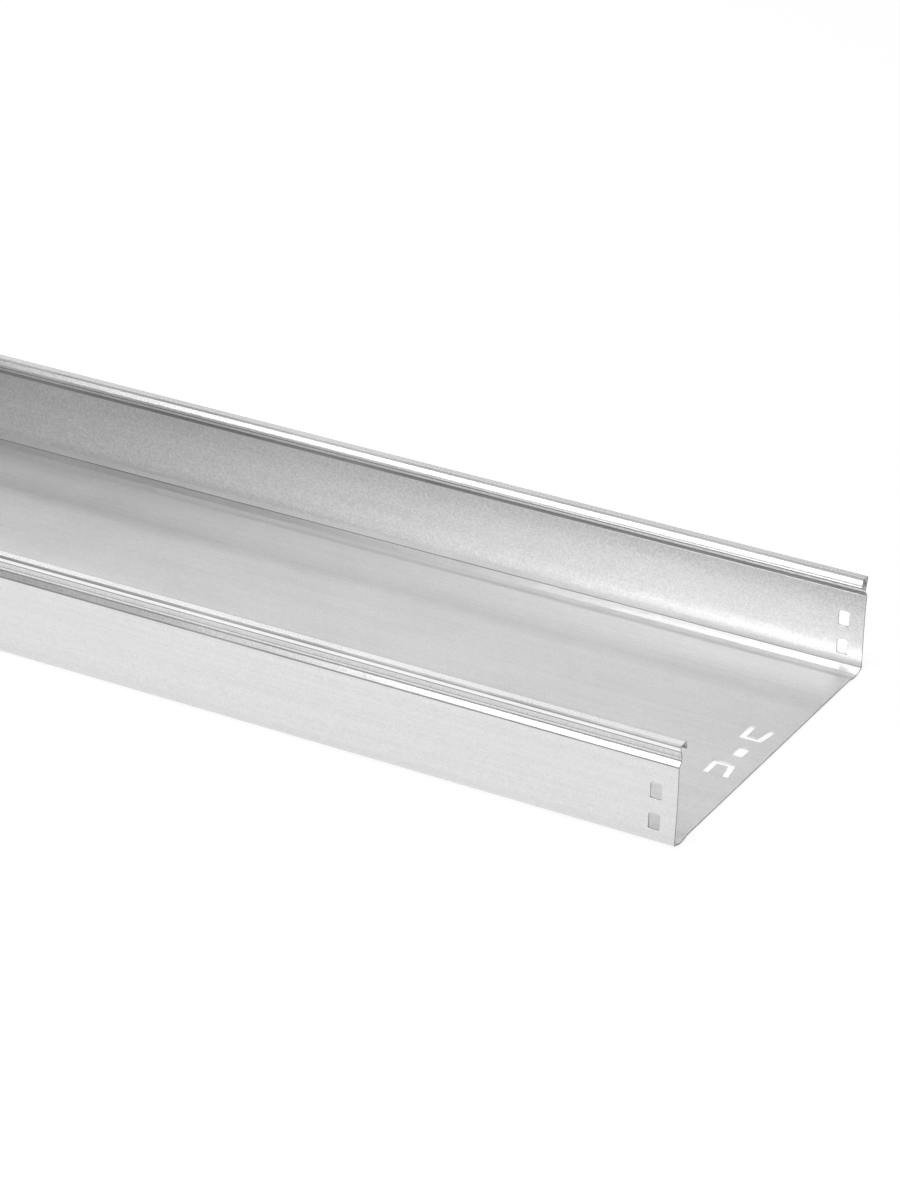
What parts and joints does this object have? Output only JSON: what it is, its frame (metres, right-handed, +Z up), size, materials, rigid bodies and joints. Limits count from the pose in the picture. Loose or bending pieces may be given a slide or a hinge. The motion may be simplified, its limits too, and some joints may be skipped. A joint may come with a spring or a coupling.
{
  "type": "solid cable tray",
  "caption": "Long shallow folded sheet-steel channel with an unperforated base, grooved walls with inturned rims, and fixing holes near each end, for carrying cables.",
  "frame": {"origin": "middle of the length and width, on the plane that the tray rests on", "axes": "+X along the length, +Y across to the wall that is on the far side in the picture, +Z up out of the open side"},
  "size_m": [3, 0.2, 0.0509],
  "materials": {
    "galvanised_sheet": "galvanised, satin, fine grain"
  },
  "bodies": {
    "root": {"tray": "galvanised_sheet"}
  },
  "joints": []
}
